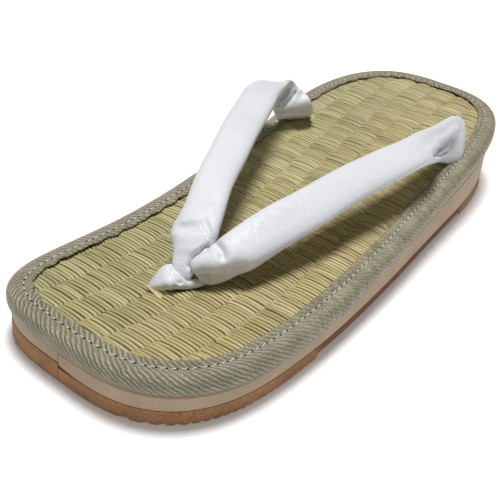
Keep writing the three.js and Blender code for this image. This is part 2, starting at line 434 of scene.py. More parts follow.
def make_slab(name, stations, levels, finish):
    """Slab with the sole's outline. Each level is an inset and a function of the loop's points."""
    points = []
    edge = sole_loop(stations, 0.0)
    at_joint = edge[:, 1] <= -LENGTH / 2
    for inset, height in levels:
        loop = sole_loop(stations, inset + JOINT_NOTCH * at_joint[:, None])
        points.append(np.column_stack([loop, height(loop)]))
    faces = slab_faces(len(levels), len(stations))
    slab = make_piece(name, np.concatenate(points), faces, finish)
    slab.data.set_sharp_from_angle(angle=SHARP_EDGE)
    return slab


def ride_and_print(piece, slot, *replaced):
    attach(piece, "root")
    if replaced:
        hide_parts(*replaced)
    mesh = piece.data
    mesh.calc_loop_triangles()
    print(piece.name, "has", len(mesh.loop_triangles), "triangles")


print("a slab of three levels has", len(slab_faces(3, STATIONS + 1)), "faces")

# %% [markdown]
# ## The outsole
# The outsole is brown sheet rubber. Its forefoot and heel stand on the floor with ripples
# moulded across them, and the waist between is raised. The ripples are a height along the
# length, so each groove's corners become stations of the slab. At the butt joint the rubber's
# top edge steps up on the inner side, and eases down behind it.

# %% Underside of the rubber
WAIST = {"from": -61, "to": 69, "clear": 2.3, "slope": 1.5, "shade_ease": 3}
RIPPLE = {"pitch": 3.1, "mouth": 1.6, "root": 0.6, "depth": 1.1, "margin": 3}
LIP = {"bulge": 0.4, "height": 0.8, "over_groove": 0.2, "groove_from": 0.5}


def ripple_centres():
    centres = []
    for start, end in ((-LENGTH / 2, WAIST["from"]), (WAIST["to"], LENGTH / 2)):
        centres += list(np.arange(start + RIPPLE["margin"], end - RIPPLE["margin"], RIPPLE["pitch"]))
    return centres


def tread_profile():
    """Corners of the underside in the side view: place along the length and height."""
    lip, root = RIPPLE["mouth"] / 2, RIPPLE["root"] / 2
    corners = [(-LENGTH / 2, 0.0)]
    for y in ripple_centres():
        if corners[-1][0] < WAIST["from"] < y:
            corners += [(WAIST["from"] - WAIST["slope"], 0.0), (WAIST["from"], WAIST["clear"])]
            corners += [(WAIST["to"], WAIST["clear"]), (WAIST["to"] + WAIST["slope"], 0.0)]
        corners += [(y - lip, 0.0), (y - root, RIPPLE["depth"])]
        corners += [(y + root, RIPPLE["depth"]), (y + lip, 0.0)]
    return np.array(corners + [(LENGTH / 2, 0.0)])


PROFILE = tread_profile()


def underside(loop):
    return np.interp(loop[:, 1], PROFILE[:, 0], PROFILE[:, 1])


def wall_foot(loop):
    """Lower edge of the wall: above the floor, and a little above each groove and the waist."""
    under = underside(loop)
    return np.maximum(under, LIP["height"]) + LIP["over_groove"] * (under > LIP["groove_from"])


print("ripples across the tread:", len(ripple_centres()))

# %% Rubber outsole
JOINT = {"step": 2.0, "fade": 70, "aside": JOINT_NOTCH / 4, "cuts": (1e-6, 1e-3)}
SEAT_GAP = 0.03


def waist_shade(tree, place):
    """Darkens the raised waist, where little light comes back from the floor."""
    half = LENGTH / 2 * MM
    inside = spread(tree, split_vector(tree, place)["Y"], -half, half)
    dim = linear(190, 180, 172)
    ease = WAIST["shade_ease"]
    return ramp(tree, inside, [
        (along(WAIST["from"] - ease), WHITE), (along(WAIST["from"] + ease), dim),
        (along(WAIST["to"] - ease), dim), (along(WAIST["to"] + ease), WHITE)])


def rubber_finish():
    finish, tree, shader = start_finish("brown_rubber", roughness=0.78)
    place = object_place(tree)
    mottle = grain_noise(tree, place, scale=90.0, detail=6.0)
    specks = grain_noise(tree, place, scale=1400.0, detail=2.0)
    stops = [(0.3, linear(150, 104, 67)), (0.55, linear(177, 127, 83)), (0.8, linear(193, 146, 101))]
    dots = [(0.35, linear(120, 80, 52)), (0.65, linear(207, 160, 116))]
    tone = mix_colour(tree, 0.35, ramp(tree, mottle, stops), ramp(tree, specks, dots))
    paint(tree, shader, mix_colour(tree, 1.0, tone, waist_shade(tree, place), "MULTIPLY"))
    bump(tree, shader, specks, distance=0.25, strength=0.6)
    return finish


def rubber_top(loop):
    """Top edge of the rubber. On the inner side it starts higher at the joint and eases down."""
    inner = loop[:, 0] < centre_line(along(loop[:, 1])) - JOINT["aside"]
    share = np.clip(1 - (LENGTH / 2 + loop[:, 1]) / JOINT["fade"], 0, 1) * inner
    return tread_height(loop[:, 1]) + JOINT["step"] * share


joint_stations = [cut - LENGTH / 2 for cut in JOINT["cuts"]]
tread_stations = sole_stations(list(PROFILE[1:-1, 0]) + joint_stations)
outsole = make_slab("rubber_outsole", tread_stations, [
    (0.0, underside),
    (-LIP["bulge"], wall_foot),
    (0.0, lambda loop: rubber_top(loop) - SEAT_GAP),
], rubber_finish())
ride_and_print(outsole, "brown_rubber", "outsole")

# %% [markdown]
# ## The foam wedge
# The wedge is a fine-celled foam, low under the ball and high at the heel. Its wall is the
# pale band between the brown rubber and the binding, so it needs a soft mottled tone, tiny
# pores and no strong gloss. The top of the wall is painted dark brown under the binding: painted
# shade where the binding's roll overhangs it. So the wall's points carry a mark of how high up
# the wall they are, and the finish reads it.

# %% Foam wedge
WALL = {"foot": 0.2, "ease": 1.2, "lean": 0.5}
WALL_RISE = [0.0, 0.15, 0.5, 1.0]


def foam_finish():
    finish, tree, shader = start_finish("beige_foam", roughness=0.72)
    place = object_place(tree)
    mottle = grain_noise(tree, place, scale=45.0, detail=5.0)
    pores = grain_noise(tree, place, scale=2200.0, detail=2.0)
    stops = [(0.3, linear(182, 158, 131)), (0.6, linear(198, 175, 147)), (0.85, linear(209, 188, 161))]
    tone = ramp(tree, mottle, stops)
    pits = ramp(tree, pores, [(0.36, (0.62, 0.62, 0.62, 1)), (0.5, WHITE)])
    tone = mix_colour(tree, 0.5, tone, pits, "MULTIPLY")
    # The top of the wall turns dark brown: painted shade under the binding's overhanging roll.
    overhang_shade = ramp(tree, mark(tree, "rise"), [
        (0.7, WHITE), (0.86, linear(196, 178, 158)), (1.0, linear(118, 96, 76))])
    paint(tree, shader, mix_colour(tree, 1.0, tone, overhang_shade, "MULTIPLY"))
    bump(tree, shader, pores, distance=0.15, strength=0.5)
    return finish


wedge = make_slab("foam_wedge", sole_stations(joint_stations), [
    (WALL["foot"], lambda loop: rubber_top(loop) + SEAT_GAP),
    (0.0, lambda loop: rubber_top(loop) + WALL["ease"]),
    (WALL["lean"] / 2, lambda loop: (rubber_top(loop) + seat_height(loop[:, 1])) / 2),
    (WALL["lean"], lambda loop: seat_height(loop[:, 1]) - SEAT_GAP),
], foam_finish())
rise = wedge.data.attributes.new("rise", "FLOAT", "POINT")
rise.data.foreach_set("value", np.repeat(WALL_RISE, len(wedge.data.vertices) // len(WALL_RISE)))
ride_and_print(wedge, "beige_foam", "midsole")

# %% [markdown]
# ## Geometry Nodes from a script
# What repeats is made by Geometry Nodes: rush strands and stitches. A tree is built here like
# a finish, with named inputs for its sizes. The modifier's inputs are set by identifier, the
# evaluated result becomes a plain mesh, and the modifier goes away with its object.

# %% Helpers for Geometry Nodes
SOCKETS = {
    "float": "NodeSocketFloat",
    "int": "NodeSocketInt",
    "object": "NodeSocketObject",
    "material": "NodeSocketMaterial",
    "geometry": "NodeSocketGeometry",
}


def start_tree(name, inputs):
    """New tree with named inputs. Returns the tree, its inputs by name and its output node."""
    tree = bpy.data.node_groups.new(name, "GeometryNodeTree")
    for label, kind in inputs.items():
        tree.interface.new_socket(name=label, in_out="INPUT", socket_type=SOCKETS[kind])
    tree.interface.new_socket(name="Geometry", in_out="OUTPUT", socket_type=SOCKETS["geometry"])
    give = {socket.name: socket for socket in tree.nodes.new("NodeGroupInput").outputs}
    return tree, give, tree.nodes.new("NodeGroupOutput")


def grow(name, tree, values, start):
    """Runs a tree on a start mesh and returns its result as a plain mesh object."""
    base = bpy.data.objects.new(name + "_base", start)
    bpy.context.scene.collection.objects.link(base)
    modifier = base.modifiers.new(name, "NODES")
    modifier.node_group = tree
    for item in tree.interface.items_tree:
        if item.in_out == "INPUT" and item.name in values:
            modifier[item.identifier] = values[item.name]
    base.update_tag()
    graph = bpy.context.evaluated_depsgraph_get()
    mesh = bpy.data.meshes.new_from_object(base.evaluated_get(graph), depsgraph=graph)
    bpy.data.objects.remove(base)
    mesh.name = name
    piece = bpy.data.objects.new(name, mesh)
    bpy.context.scene.collection.objects.link(piece)
    return piece


def arch(tree, half, knee, foot, crest, points):
    """A curve that rises from a foot and dives at the other, with its handles at the crest."""
    def spot(reach, height, turn):
        return blend_vector(tree, X=calc(tree, "MULTIPLY", reach, turn), Z=height)

    return step(tree, "GeometryNodeCurvePrimitiveBezierSegment", {
        "Resolution": points, "Start": spot(half, foot, -1.0), "Start Handle": spot(knee, crest, -1.0),
        "End Handle": spot(knee, crest, 1.0), "End": spot(half, foot, 1.0)}, mode="POSITION")


def chance(tree, low, high, seed):
    feeds = {"Min": low, "Max": high, "Seed": seed}
    return step(tree, "FunctionNodeRandomValue", feeds, data_type="FLOAT").outputs[1]


print("kinds of tree input:", sorted(SOCKETS))

# %% [markdown]
# ## The rush mat
# The mat is woven of rush stalks across the foot. A stalk passes over one column and under
# the next, so each column shows a row of short humps, and the next column's humps sit half a
# step aside. One hump is a bent tube of a few dozen faces. The tree sets humps out on a
# grid, turns the grid to the mat's slant, drops it on the mat's curve and trims its edge.

# %% Rush finishes
WEAVE_TURN = math.radians(1.72)
SLIT_SHADOW = {"place": (0.0069, -0.0816, 0.0), "turn": math.radians(53.6), "reach": (0.0095, 0.0026, 1.0)}


def stalk_colour(tree):
    """Green stalks and straw ones, each with a shade of its own."""
    tone = mark(tree, "tone")
    green = ramp(tree, tone, [
        (0.0, linear(149, 139, 98)), (0.3, linear(174, 167, 121)), (0.6, linear(187, 180, 134)),
        (0.85, linear(199, 192, 146)), (1.0, linear(213, 205, 161))])
    straw = ramp(tree, tone, [
        (0.0, linear(156, 129, 87)), (0.3, linear(188, 166, 115)), (0.6, linear(202, 183, 130)),
        (0.85, linear(216, 199, 147)), (1.0, linear(231, 216, 168))])
    return mix_colour(tree, mark(tree, "straw"), green, straw)


def painted_slit_shadow(tree, place):
    """Painted shadow on the mat under the thong beside its slit: an oval patch that fades outwards."""
    patch = step(tree, "ShaderNodeMapping", {
        "Vector": place, "Location": SLIT_SHADOW["place"], "Rotation": (0, 0, SLIT_SHADOW["turn"]),
        "Scale": SLIT_SHADOW["reach"]}, vector_type="TEXTURE")
    away = step(tree, "ShaderNodeVectorMath", {0: patch}, operation="LENGTH")
    return ramp(tree, away.outputs["Value"], [(0.35, linear(110, 98, 76)), (1.0, WHITE)])


def rush_finish():
    finish, tree, shader = start_finish("rush_stalk", roughness=0.5)
    place = object_place(tree)
    turned = step(tree, "ShaderNodeMapping", {
        "Vector": place, "Rotation": (0, 0, -WEAVE_TURN), "Scale": (70, 2600, 500)})
    streak = grain_noise(tree, turned.outputs[0], scale=1.0, detail=3.0)
    streaks = ramp(tree, streak, [
        (0.3, linear(165, 155, 128)), (0.55, linear(250, 248, 240)), (0.8, WHITE)])
    # Both ends of each hump are painted darker, the far end most: painted shade where the stalk dives
    # under the next column.
    ends = ramp(tree, mark(tree, "along"), [
        (0.0, linear(120, 105, 76)), (0.1, linear(218, 212, 196)), (0.18, WHITE),
        (0.8, WHITE), (0.9, linear(196, 184, 158)), (1.0, linear(70, 58, 38))])
    # Where the stalk's skin faces sideways or down it is painted darker: painted shade in the grooves
    # between stalks.
    groove_shade = ramp(tree, mark(tree, "side"), [
        (0.0, linear(70, 60, 42)), (0.5, linear(200, 194, 178)), (0.8, WHITE)])
    colour = stalk_colour(tree)
    # Painted shade on the stalks: darker ends and grooves, and a painted shadow under the thong at its
    # slit.
    shades = ((0.4, streaks), (0.9, ends), (0.5, groove_shade), (1.0, painted_slit_shadow(tree, place)))
    for share, shade in shades:
        colour = mix_colour(tree, share, colour, shade, "MULTIPLY")
    paint(tree, shader, colour)
    bump(tree, shader, streak, distance=0.15, strength=0.5)
    return finish


rush = rush_finish()
# The mat's body under the stalks is painted dark brown: painted shade that shows in the gaps between
# stalks.
gap_shade_bed = mottled_finish(
    "rush_shade", roughness=0.9, scale=400.0, detail=3.0, low=(70, 58, 36), high=(104, 90, 58))
nodes["mat_footbed"].data.materials.clear()
nodes["mat_footbed"].data.materials.append(gap_shade_bed)
print("weave turned by", round(math.degrees(WEAVE_TURN), 2), "degrees")

# %% Grid of stalks
MAT_TOP = 6.0
MAT_TRIM = 6.3
COLUMN = 11.2
COLUMNS = 12
COLUMN_LINE = 4.4
STRAND_PITCH = 1.6
GRID_REACH = 0.54


def mat_bed():
    """Top of the mat inside the binding, as a sheet that the strands are dropped on."""
    stations = sole_stations()
    loop = sole_loop(stations, MAT_TRIM)
    points = np.column_stack([loop, seat_height(loop[:, 1]) + MAT_TOP])
    return make_piece("mat_bed", points, slab_faces(1, len(stations))[-STATIONS:], gap_shade_bed)


def weave_grid():
    """A point for each stalk. Columns bow with the sole, and every other one is half a step on."""
    column = np.arange(-COLUMNS // 2, COLUMNS // 2)
    reach = int(GRID_REACH * LENGTH / STRAND_PITCH)
    number, row = np.meshgrid(column, np.arange(-reach, reach + 1), indexing="ij")
    across = COLUMN_LINE + (number + 0.5) * COLUMN
    down = (row + 0.5 * (number % 2)) * STRAND_PITCH
    x = across * math.cos(WEAVE_TURN) - down * math.sin(WEAVE_TURN)
    y = across * math.sin(WEAVE_TURN) + down * math.cos(WEAVE_TURN)
    points = np.stack([x + centre_line(along(y)), y, np.zeros_like(x)], -1).reshape(-1, 3)
    mesh = bpy.data.meshes.new("weave_grid")
    mesh.from_pydata((points * MM).tolist(), [], [])
    layer = mesh.attributes.new("column", "INT", "POINT")
    layer.data.foreach_set("value", number.ravel().astype(np.int32))
    return mesh


bed = mat_bed()
grid = weave_grid()
print("stalks on the grid:", len(grid.vertices))

# %% One stalk's hump
STRAND = {"width": 1.52, "height": 1.4, "overlap": 2.2, "top": 0.2, "end": -1.1, "shoulder": 0.84}


def store(tree, geometry, name, value, kind="FLOAT"):
    """Marks each point with a named value."""
    feeds = {"Geometry": geometry, "Name": name, "Value": value}
    return step(tree, "GeometryNodeStoreNamedAttribute", feeds, data_type=kind, domain="POINT")


def stalk_hump(tree, give):
    """One stalk's visible hump: a bent tube that dives at both ends."""
    reach = calc(tree, "ADD", give["Column Width"], give["Overlap"])
    half = calc(tree, "MULTIPLY", reach, 0.5)
    knee = calc(tree, "MULTIPLY", half, give["Shoulder"])
    # The handles stand above the top, because the curve rises three quarters of the way to them.
    crest = calc(tree, "SUBTRACT", calc(tree, "MULTIPLY", give["Top"], 4 / 3),
                 calc(tree, "MULTIPLY", give["End"], 1 / 3))
    stalk = arch(tree, half, knee, give["End"], crest, points=8)
    share = step(tree, "GeometryNodeSplineParameter").outputs["Factor"]
    upright = step(tree, "GeometryNodeSetCurveNormal", {
        "Curve": store(tree, stalk, "along", share)}, mode="Z_UP")
    hoop = step(tree, "GeometryNodeCurvePrimitiveCircle", {"Resolution": 8, "Radius": 0.5})
    size = blend_vector(tree, X=give["Strand Width"], Y=give["Strand Height"], Z=1.0)
    oval = step(tree, "GeometryNodeTransform", {"Geometry": hoop.outputs["Curve"], "Scale": size})
    tube = step(tree, "GeometryNodeCurveToMesh", {
        "Curve": upright, "Profile Curve": oval, "Fill Caps": True})
    # How far up the skin faces, kept so that the finish can paint shade on the stalks' flanks.
    facing = split_vector(tree, step(tree, "GeometryNodeInputNormal"))
    return store(tree, tube, "side", facing["Z"])


print("a stalk is", STRAND["width"], "mm wide and", STRAND["height"], "mm high")

# %% Shades of the stalks
SHADE = {"patch": 0.011, "column_step": 7.3, "own": 0.26, "middle": 0.55}
GOLD = {"reach": 0.12, "scale": 24.0, "start": -0.2}


def stalk_shades(tree, give, points):
    """Marks each stalk with a shade: a chance of its own, and one it shares with its neighbours."""
    column = step(tree, "GeometryNodeInputNamedAttribute", {"Name": "column"}, data_type="INT")
    place = step(tree, "GeometryNodeInputPosition")
    where = split_vector(tree, place)
    spot = blend_vector(
        tree,
        X=calc(tree, "MULTIPLY", socket_named(column.outputs, "Attribute"), SHADE["column_step"]),
        Y=calc(tree, "DIVIDE", where["Y"], give["Patch Length"]))
    shared = calc(tree, "SUBTRACT", grain_noise(tree, spot.outputs[0], scale=1.0, detail=2.0), 0.5)
    own = chance(tree, -SHADE["own"], SHADE["own"], calc(tree, "ADD", give["Seed"], 5.0))
    tone = calc(tree, "ADD", calc(tree, "ADD", shared, own), SHADE["middle"])
    drift = calc(tree, "DIVIDE", where["X"], give["Gold Reach"])
    broad = grain_noise(tree, place.outputs[0], scale=GOLD["scale"], detail=2.0)
    gold = calc(tree, "ADD", calc(tree, "ADD", drift, broad), GOLD["start"])
    straw = calc(tree, "MINIMUM", calc(tree, "MAXIMUM", gold, 0.0), 1.0)
    return store(tree, store(tree, points, "tone", tone), "straw", straw)


print("neighbours share a shade over", round(SHADE["patch"] / MM), "mm")

# %% Weave the rush mat
STRAY = {"across": (-0.03, 0.03), "down": (-0.09, 0.09), "up": (-0.1, 0.07),
         "lean": (-0.03, 0.03), "fullness": (0.9, 1.1)}
WEAVE_SEED = 11
SKY_HIGH = 1.0


def weave_tree():
    tree, give, result = start_tree("rush_weave", {
        "Grid": "geometry", "Column Width": "float", "Strand Pitch": "float", "Strand Width": "float",
        "Strand Height": "float", "Overlap": "float", "Top": "float", "End": "float",
        "Shoulder": "float", "Patch Length": "float", "Gold Reach": "float", "Turn": "float",
        "Sky": "float", "Bed": "object", "Rush": "material", "Seed": "int"})

    def strayed(name, size, turn):
        luck = chance(tree, *STRAY[name], calc(tree, "ADD", give["Seed"], turn))
        return calc(tree, "MULTIPLY", luck, size)

    shift = blend_vector(
        tree, X=strayed("across", give["Column Width"], 2.0),
        Y=strayed("down", give["Strand Pitch"], 0.0), Z=strayed("up", give["Strand Height"], 1.0))
    scattered = step(tree, "GeometryNodeSetPosition", {
        "Geometry": stalk_shades(tree, give, give["Grid"]), "Offset": shift})
    lean = blend_vector(tree, Z=calc(tree, "ADD", give["Turn"], strayed("lean", 1.0, 4.0)))
    laid = step(tree, "GeometryNodeInstanceOnPoints", {
        "Points": scattered, "Instance": stalk_hump(tree, give),
        "Rotation": step(tree, "FunctionNodeEulerToRotation", {"Euler": lean}),
        "Scale": blend_vector(tree, X=1.0, Y=strayed("fullness", 1.0, 3.0), Z=1.0)})
    woven = step(tree, "GeometryNodeRealizeInstances", {"Geometry": laid})

    flat = split_vector(tree, step(tree, "GeometryNodeInputPosition"))
    bed = step(tree, "GeometryNodeObjectInfo", {"Object": give["Bed"]})
    drop = step(tree, "GeometryNodeRaycast", {
        "Target Geometry": bed.outputs["Geometry"],
        "Source Position": blend_vector(tree, X=flat["X"], Y=flat["Y"], Z=give["Sky"]),
        "Ray Direction": (0.0, 0.0, -1.0), "Ray Length": calc(tree, "MULTIPLY", give["Sky"], 2.0)})
    missed = step(tree, "FunctionNodeBooleanMath", {0: drop.outputs["Is Hit"]}, operation="NOT")
    ground = split_vector(tree, drop.outputs["Hit Position"])
    settled = step(tree, "GeometryNodeSetPosition", {
        "Geometry": store(tree, woven, "off_mat", missed, "BOOLEAN"),
        "Offset": blend_vector(tree, Z=ground["Z"]), "Selection": drop.outputs["Is Hit"]})
    off_mat = step(tree, "GeometryNodeInputNamedAttribute", {"Name": "off_mat"}, data_type="BOOLEAN")
    trimmed = step(tree, "GeometryNodeDeleteGeometry", {
        "Geometry": settled, "Selection": socket_named(off_mat.outputs, "Attribute")}, domain="POINT")
    smooth = step(tree, "GeometryNodeSetShadeSmooth", {"Geometry": trimmed})
    dressed = step(tree, "GeometryNodeSetMaterial", {"Geometry": smooth, "Material": give["Rush"]})
    tree.links.new(dressed.outputs[0], result.inputs["Geometry"])
    return tree


rush_mat = grow("rush_mat", weave_tree(), {
    "Column Width": COLUMN * MM, "Strand Pitch": STRAND_PITCH * MM,
    "Strand Width": STRAND["width"] * MM, "Strand Height": STRAND["height"] * MM,
    "Overlap": STRAND["overlap"] * MM, "Top": STRAND["top"] * MM, "End": STRAND["end"] * MM,
    "Shoulder": STRAND["shoulder"], "Patch Length": SHADE["patch"], "Gold Reach": GOLD["reach"],
    "Turn": WEAVE_TURN, "Sky": SKY_HIGH, "Bed": bed, "Rush": rush, "Seed": WEAVE_SEED}, grid)
bpy.data.objects.remove(bed)
ride_and_print(rush_mat, "rush_mat")

# %% [markdown]
# ## The bound edge
# A strip of grey-green leatherette is rolled over the mat's edge and stitched down. Its
# section is a short closed table, rounded by a curve and carried round the outline. Past the
# stitches the strip has a free lip, which stands a little off the mat and is scalloped on the
# inner side. The map runs along the strip and across it, because the grain follows the edge.

# %% Section of the binding
BINDING = table(
    "inset height",
    (-0.4, 0.15),
    (-1.1, 1.5),
    (-1.3, 3.6),
    (-0.9, 5.4),
    (0.3, 6.7),
    (2.0, 7.3),
    (4.6, 7.0),
    (6.6, 7.4),
    (7.5, 7.1),
    (7.7, 6.3),
    (2.8, 6.3),
    (1.0, 4.9),
    (0.6, 3.2),
    (0.6, 0.15),
)
SECTION_STEPS = 4


def rounded_section():
    """Closed section through the table's points, with a few points between each pair."""
    count = len(BINDING)
    wrapped = BINDING[-2:] + BINDING + BINDING[:3]
    places = np.arange(-2, count + 3)
    where = np.arange(count * SECTION_STEPS) / SECTION_STEPS
    return np.stack([column_curve(wrapped, places, name)(where) for name in ("inset", "height")], 1)


strip_section = rounded_section()
print("points round the binding's section:", len(strip_section))

# %% Strip round the edge
EDGE_POINTS = 560
JOIN_TURN = 0.62
STITCH_LINE = 4.7
LIP_OPEN = 0.75
LIP_WAVES = table("waves start size", (7, 0.4, 0.2), (17, 1.9, 0.16), (43, 0.8, 0.12))
LIP_SCALLOPS = table("waves start size", (83, 1.4, 0.3), (61, 0.5, 0.25))
SCALLOP_SIDE = {"none": 12.0, "full": -8.0}


def closed_run(points):
    """A loop's points with the first one again at the end, and the length run to each."""
    closed = np.concatenate([points, points[:1]])
    return closed, np.concatenate([[0], np.cumsum(np.linalg.norm(np.diff(closed, axis=0), axis=1))])


def even_loop(inset):
    """The outline with evenly spaced points, from a join on the inner side."""
    loop = sole_loop(sole_stations(), inset)
    closed, reach = closed_run(np.roll(loop, -int(JOIN_TURN * len(loop)), 0))
    spots = np.linspace(0, reach[-1], EDGE_POINTS, endpoint=False)
    return np.stack([np.interp(spots, reach, closed[:, axis]) for axis in (0, 1)], 1), reach[-1]


def waves_round(rows):
    """Sum of a few waves round the edge, one value for each place along it."""
    turn = 2 * np.pi * np.arange(EDGE_POINTS) / EDGE_POINTS
    return sum(row["size"] * np.sin(row["waves"] * turn + row["start"]) for row in rows)


def strip_points(section):
    """Rings of the binding, one for each place along the edge."""
    edge, girth = even_loop(0.0)
    free = np.clip((section[:, 0] - STITCH_LINE) / (section[:, 0].max() - STITCH_LINE), 0, 1)
    inner = (SCALLOP_SIDE["none"] - edge[:, 0]) / (SCALLOP_SIDE["none"] - SCALLOP_SIDE["full"])
    scallops = np.clip(inner, 0, 1) * waves_round(LIP_SCALLOPS)
    reach = section[None, :, 0] + np.outer(scallops, free)
    lift = np.outer(LIP_OPEN + waves_round(LIP_WAVES), free)
    plan = edge[:, None, :] + inward(edge)[:, None, :] * reach[..., None]
    height = seat_height(plan[..., 1]) + section[None, :, 1] + lift
    return np.concatenate([plan, height[..., None]], 2), girth


strip_rings, strip_length = strip_points(strip_section)
print("the binding runs", round(strip_length), "mm round the edge")

# %% Leatherette of the binding
RIDGE_SLANT = math.radians(-52)
CRINKLE_SLANT = math.radians(-28)
RELIEF = {"sway": 1.5, "share": 0.9}
QUIET = {"toe": -0.1, "ball": -0.06, "middle": 0.0, "side": 0.025, "share": 0.6}


def quiet_side(tree):
    """How far the slanted ridges give way to crinkles: on the outer side, behind the toe."""
    spot = split_vector(tree, object_place(tree))
    behind = spread(tree, spot["Y"], QUIET["toe"], QUIET["ball"])
    outer = spread(tree, spot["X"], QUIET["middle"], QUIET["side"])
    return calc(tree, "MULTIPLY", calc(tree, "MULTIPLY", behind, outer), QUIET["share"])


def slanted_ridges(tree, strip):
    """Grain of the leatherette: ridges across the strip on a slant, a little wavy."""
    slant = step(tree, "ShaderNodeMapping", {"Vector": strip, "Rotation": (0, 0, RIDGE_SLANT)})
    drift = grain_noise(tree, strip, scale=0.35, detail=3.0)
    sway = blend_vector(tree, X=calc(tree, "MULTIPLY", drift, RELIEF["sway"]))
    bent = step(tree, "ShaderNodeVectorMath", {0: slant, 1: sway}, operation="ADD")
    ridges = step(tree, "ShaderNodeTexWave", {
        "Vector": bent, "Scale": 0.21, "Distortion": 1.3, "Detail": 3.0, "Detail Scale": 1.8})
    return ridges.outputs["Fac"]


def crinkles(tree, strip):
    """Irregular creases drawn out across the strip."""
    drawn = step(tree, "ShaderNodeMapping", {
        "Vector": strip, "Rotation": (0, 0, CRINKLE_SLANT), "Scale": (0.6, 0.13, 1.0)})
    creased = grain_noise(tree, drawn.outputs[0], scale=1.0, detail=3.0)
    return spread(tree, creased, low=0.36, high=0.66)


def binding_finish():
    finish, tree, shader = start_finish("grey_leatherette", roughness=0.36, values={
        "Specular IOR Level": 0.6})
    strip = step(tree, "ShaderNodeUVMap", uv_map="strip").outputs["UV"]
    fine = grain_noise(tree, strip, scale=2.4, detail=4.0)
    relief = step(tree, "ShaderNodeMix", {
        "Factor": quiet_side(tree), "A": slanted_ridges(tree, strip),
        "B": crinkles(tree, strip)}, data_type="FLOAT").outputs[0]
    gloss = spread(tree, relief, low=0.4, high=0.9, start=0.5, end=0.2)
    tree.links.new(gloss, shader.inputs["Roughness"])
    # Colour follows the relief: painted highlight on the ridge tops and crinkles, painted shade between
    # them.
    tone = ramp(tree, relief, [
        (0.1, linear(134, 128, 107)), (0.5, linear(163, 157, 132)), (0.9, linear(183, 177, 152))])
    cloudy = ramp(tree, grain_noise(tree, strip, scale=0.09, detail=3.0), [
        (0.3, linear(212, 210, 203)), (0.7, linear(255, 255, 250))])
    pepper = ramp(tree, fine, [(0.36, linear(150, 147, 138)), (0.5, WHITE)])
    aged = mix_colour(tree, 0.7, tone, cloudy, "MULTIPLY")
    paint(tree, shader, mix_colour(tree, 0.8, aged, pepper, "MULTIPLY"))
    height = calc(tree, "ADD", calc(tree, "MULTIPLY", relief, RELIEF["share"]), fine)
    bump(tree, shader, height, distance=0.36, strength=0.8)
    return finish


leatherette = binding_finish()
print("nodes in the binding's finish:", len(leatherette.node_tree.nodes))

# %% Binding strip
def map_strip(piece, rings, sides):
    """Map in millimetres: along the strip, and across it round the section."""
    across = closed_run(strip_section)[1]
    layer = piece.data.uv_layers.new(name="strip")
    corners = []
    for i in range(rings):
        for j in range(sides):
            corners += [(i, j), (i, j + 1), (i + 1, j + 1), (i + 1, j)]
    spots = np.array([(strip_length * i / rings, across[j]) for i, j in corners], np.float32)
    layer.data.foreach_set("uv", spots.ravel())


ring_count, side_count = strip_rings.shape[:2]
strip_faces = ring_faces(ring_count, side_count, closed=True)
binding = make_piece("binding_strip", strip_rings.reshape(-1, 3), strip_faces, leatherette)
map_strip(binding, ring_count, side_count)
ride_and_print(binding, "grey_leatherette", "edge_binding")

# %% [markdown]
# ## The stitching
# One row of pale thread holds the binding down. Each stitch is a short bent bar between two
# needle holes. The tree walks a curve round the edge, sets a stitch at every step along it,
# turned with the edge, and sinks a dark ball where the thread dives: painted shade that stands
# for the shadow inside the needle hole.

# %% Thread and needle holes
def thread_finish():
    finish, tree, shader = start_finish("pale_thread", roughness=0.6)
    twist = step(tree, "ShaderNodeTexWave", {
        "Vector": object_place(tree), "Scale": 700.0, "Distortion": 2.0})
    stops = [(0.2, linear(176, 174, 164)), (0.7, linear(236, 235, 228))]
    paint(tree, shader, ramp(tree, twist.outputs["Fac"], stops))
    return finish


thread = thread_finish()
needle_hole_shade = mottled_finish(
    "needle_hole_shade", roughness=0.95, scale=900.0, low=(16, 15, 12), high=(38, 36, 30))
print("finishes of a stitch:", thread.name, needle_hole_shade.name)

# %% One stitch
HANDLE = 0.7
HOLE_SHAPE = (1.15, 0.9, 0.32)
HOLE_AT = 1.3


def thread_bar(tree, give, half):
    """The thread: a short bar that rises between its two ends and dives at both."""
    sunk = calc(tree, "MULTIPLY", give["Rise"], -1.0)
    knee = calc(tree, "MULTIPLY", half, HANDLE)
    bar = arch(tree, half, knee, sunk, give["Rise"], points=6)
    hoop = step(tree, "GeometryNodeCurvePrimitiveCircle", {
        "Resolution": 6, "Radius": calc(tree, "MULTIPLY", give["Thick"], 0.5)})
    thread = step(tree, "GeometryNodeCurveToMesh", {
        "Curve": bar, "Profile Curve": hoop.outputs["Curve"]})
    return step(tree, "GeometryNodeSetMaterial", {"Geometry": thread, "Material": give["Thread"]})


def sunk_hole(tree, give, half):
    """Needle hole: a dark ball pressed flat, just past the end of the thread; its colour is painted
    shade.
    """
    ball = step(tree, "GeometryNodeMeshIcoSphere", {"Radius": give["Hole"], "Subdivisions": 2})
    beside = blend_vector(tree, X=calc(tree, "MULTIPLY", half, HOLE_AT))
    pressed = step(tree, "GeometryNodeTransform", {
        "Geometry": ball.outputs["Mesh"], "Translation": beside, "Scale": HOLE_SHAPE})
    return step(tree, "GeometryNodeSetMaterial", {"Geometry": pressed, "Material": give["Dark"]})


print("a needle hole sits", HOLE_AT, "half stitches from the middle of its stitch")

# %% Stitch the binding
STITCH = {"height": 7.0, "pitch": 3.3, "length": 1.55, "thick": 0.52, "rise": 0.24, "hole": 0.52}
STITCH_SWING = (-0.05, 0.25)
STITCH_SEED = 4


